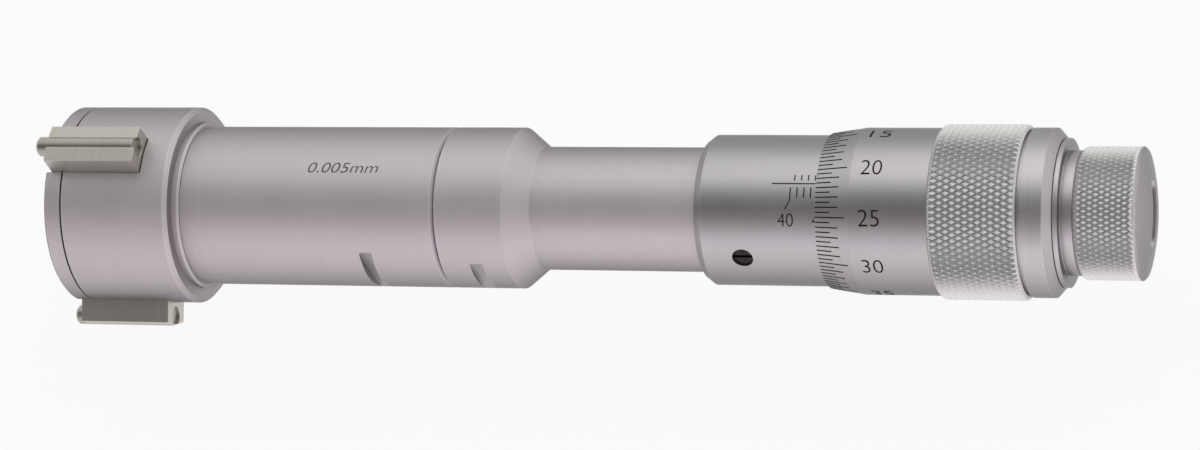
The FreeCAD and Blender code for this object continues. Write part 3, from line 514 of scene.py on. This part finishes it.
NODE_FINISH = {
    "matt_chrome": ["head_body", "front_cover", "guide_tube", "main_body"],
    "satin_chrome": ["end_ring", "ratchet_sleeve"],
    "scale_chrome": ["scale_sleeve", "thimble_shell"],
    "ground_anvil": ["anvil_1", "anvil_2", "anvil_3"],
    "hard_pin": ["anvil_pin_1", "anvil_pin_2", "anvil_pin_3"],
    "black_screw": ["lock_screw", "cover_screws"],
    "turned_bronze": ["guide_bush", "spindle_nut", "swivel_ring"],
    "bright_steel": ["taper_rod", "swivel_cup", "swivel_button", "spindle", "thimble_nut",
                     "ratchet_wheel", "ratchet_plunger", "ratchet_spring", "ratchet_screw"],
}


def dress(thing, finish):
    """Gives an object one finish over its whole surface."""
    thing.data.materials.clear()
    thing.data.materials.append(FINISHES[finish])


# ---- the studio

# The floor's share of pure white, the rest being its own shade with the object's shadow.
FLOOR_WHITE = 0.93
# The dome's brightness at each angle round X, in degrees from level in front, and its tints.
DOME_LEVELS = [
    (-180, 0.35), (-90, 0.6), (-20, 1.0), (2, 1.0), (22, 0.72), (36, 0.42), (50, 0.2),
    (62, 0.14), (74, 0.2), (88, 0.45), (104, 0.78), (122, 0.92), (138, 0.95), (152, 0.98),
    (168, 0.9), (180, 0.8),
]
DOME_STRENGTH = 0.95
LILAC = (1.0, 0.975, 1.0)
GREENISH = (0.965, 1.0, 0.965)
GREENISH_ABOVE = 55


def make_floor():
    """A pale floor at the lowest point of the head, whiter where it's seen than where it lights."""
    level = -HEAD_RADIUS
    reach = 3000.0
    corners = [(x * reach, y * reach, level) for x, y in ((-1, -1), (1, -1), (1, 1), (-1, 1))]
    floor = piece("floor", corners, [[0, 1, 2, 3]])
    material = bpy.data.materials.new("pale_floor")
    material.use_nodes = True
    tree = material.node_tree
    shader = tree.nodes["Principled BSDF"]
    shader.inputs["Base Color"].default_value = (0.93, 0.92, 0.93, 1)
    shader.inputs["Roughness"].default_value = 0.9
    glow = node(tree, "ShaderNodeEmission", {"Color": (1, 0.995, 1, 1), "Strength": 1.0})
    path = node(tree, "ShaderNodeLightPath")
    seen = node(tree, "ShaderNodeMath", {0: path.outputs["Is Camera Ray"],
                                         1: path.outputs["Is Glossy Ray"]}, operation="MAXIMUM")
    plain = node(tree, "ShaderNodeMath", {0: seen.outputs[0],
                                          1: path.outputs["Is Transmission Ray"]},
                 operation="MAXIMUM")
    share = node(tree, "ShaderNodeMath", {0: plain.outputs[0], 1: FLOOR_WHITE},
                 operation="MULTIPLY")
    mixed = node(tree, "ShaderNodeMixShader", {0: share.outputs[0], 1: shader.outputs[0],
                                               2: glow.outputs[0]})
    out = next(n for n in tree.nodes if n.bl_idname == "ShaderNodeOutputMaterial")
    tree.links.new(mixed.outputs[0], out.inputs["Surface"])
    floor.data.materials.append(material)


def make_dome():
    """Soft studio light: bright overhead and low in front, dim between."""
    world = bpy.data.worlds.new("studio")
    bpy.context.scene.world = world
    world.use_nodes = True
    tree = world.node_tree
    back = tree.nodes["Background"]
    split = node(tree, "ShaderNodeSeparateXYZ",
                 {"Vector": node(tree, "ShaderNodeTexCoord").outputs["Generated"]})
    front = node(tree, "ShaderNodeMath", {0: split.outputs["Y"], 1: -1.0}, operation="MULTIPLY")
    angle = node(tree, "ShaderNodeMath", {0: split.outputs["Z"], 1: front.outputs[0]},
                 operation="ARCTAN2")
    share = node(tree, "ShaderNodeMapRange", {"Value": angle.outputs[0], "From Min": -math.pi,
                                              "From Max": math.pi})
    ramp = node(tree, "ShaderNodeValToRGB", {"Fac": share.outputs[0]})
    points = ramp.color_ramp.elements
    while len(points) < len(DOME_LEVELS):
        points.new(0.5)
    for point, (degrees, level) in zip(points, DOME_LEVELS):
        point.position = (degrees + 180) / 360
        red, green, blue = GREENISH if degrees > GREENISH_ABOVE else LILAC
        point.color = (level * red, level * green, level * blue, 1)
    tree.links.new(ramp.outputs["Color"], back.inputs["Color"])
    back.inputs["Strength"].default_value = DOME_STRENGTH


def make_lamp(name, angle, distance, size, power):
    """A large soft lamp over the object at an angle round X, turned to face its middle."""
    light = bpy.data.lights.new(name, "AREA")
    light.shape = "RECTANGLE"
    light.size, light.size_y = size
    light.energy = power
    lamp = bpy.data.objects.new(name, light)
    bpy.context.scene.collection.objects.link(lamp)
    out = Vector((0, -math.cos(math.radians(angle)), math.sin(math.radians(angle))))
    lamp.location = Vector((AIM_STATION * MM, 0, 0)) + out * distance
    lamp.rotation_euler = out.to_track_quat("Z", "X").to_euler()


def make_camera():
    """The photograph's camera: yawed from square, rolled with the object, a little twisted."""
    yaw, roll, twist = (math.radians(a) for a in (CAMERA_YAW, ROLL_TO_REST, CAMERA_TWIST))
    back = Vector((math.sin(yaw), -math.cos(yaw) * math.cos(roll), math.cos(yaw) * math.sin(roll)))
    level_up = Vector((0, math.sin(roll), math.cos(roll)))
    level_right = level_up.cross(back)
    right = math.cos(twist) * level_right + math.sin(twist) * level_up
    up = math.cos(twist) * level_up - math.sin(twist) * level_right
    drop = AIM_RISE * CAMERA_DISTANCE / CAMERA_FOCUS
    place = Vector((AIM_STATION, 0, 0)) + CAMERA_DISTANCE * back - drop * up
    lens = bpy.data.cameras.new("photo_camera")
    lens.sensor_width = 36.0
    lens.lens = CAMERA_FOCUS / PHOTO_WIDTH * lens.sensor_width
    lens.clip_start = 0.01
    camera = bpy.data.objects.new("photo_camera", lens)
    bpy.context.scene.collection.objects.link(camera)
    turn = Matrix((right, up, back)).transposed().to_4x4()
    camera.matrix_world = Matrix.Translation(place * MM) @ turn
    bpy.context.scene.camera = camera


# ---- the whole

for finish, names in NODE_FINISH.items():
    for name in names:
        dress(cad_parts[name], finish)
dress(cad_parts["grip_ring"], "knurl_chrome")
dress(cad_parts["ratchet_knob"], "knurl_chrome")

grip = make_grip()
dress(grip, "knurl_chrome")
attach(grip, "thimble")
for part, finish in zip(make_knob(), ("knurl_chrome", "satin_chrome")):
    dress(part, finish)
    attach(part, "ratchet")

for mark in make_main_scale():
    dress(mark, "black_ink")
    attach(mark, "frame")
for mark in make_thimble_scale():
    dress(mark, "black_ink")
    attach(mark, "thimble")
value = lettering(
    "tube_value", "0.005mm", TUBE_VALUE["size"], TUBE_VALUE["station"], facing(TUBE_VALUE["angle"]),
    tube_radius, lean=TUBE_VALUE["lean"],
)
dress(value, "grey_etch")
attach(value, "frame")

make_floor()
make_dome()
make_lamp("overhead", 122, 0.55, (0.6, 0.2), 0.12)
make_camera()
bpy.context.scene.view_settings.view_transform = "Standard"
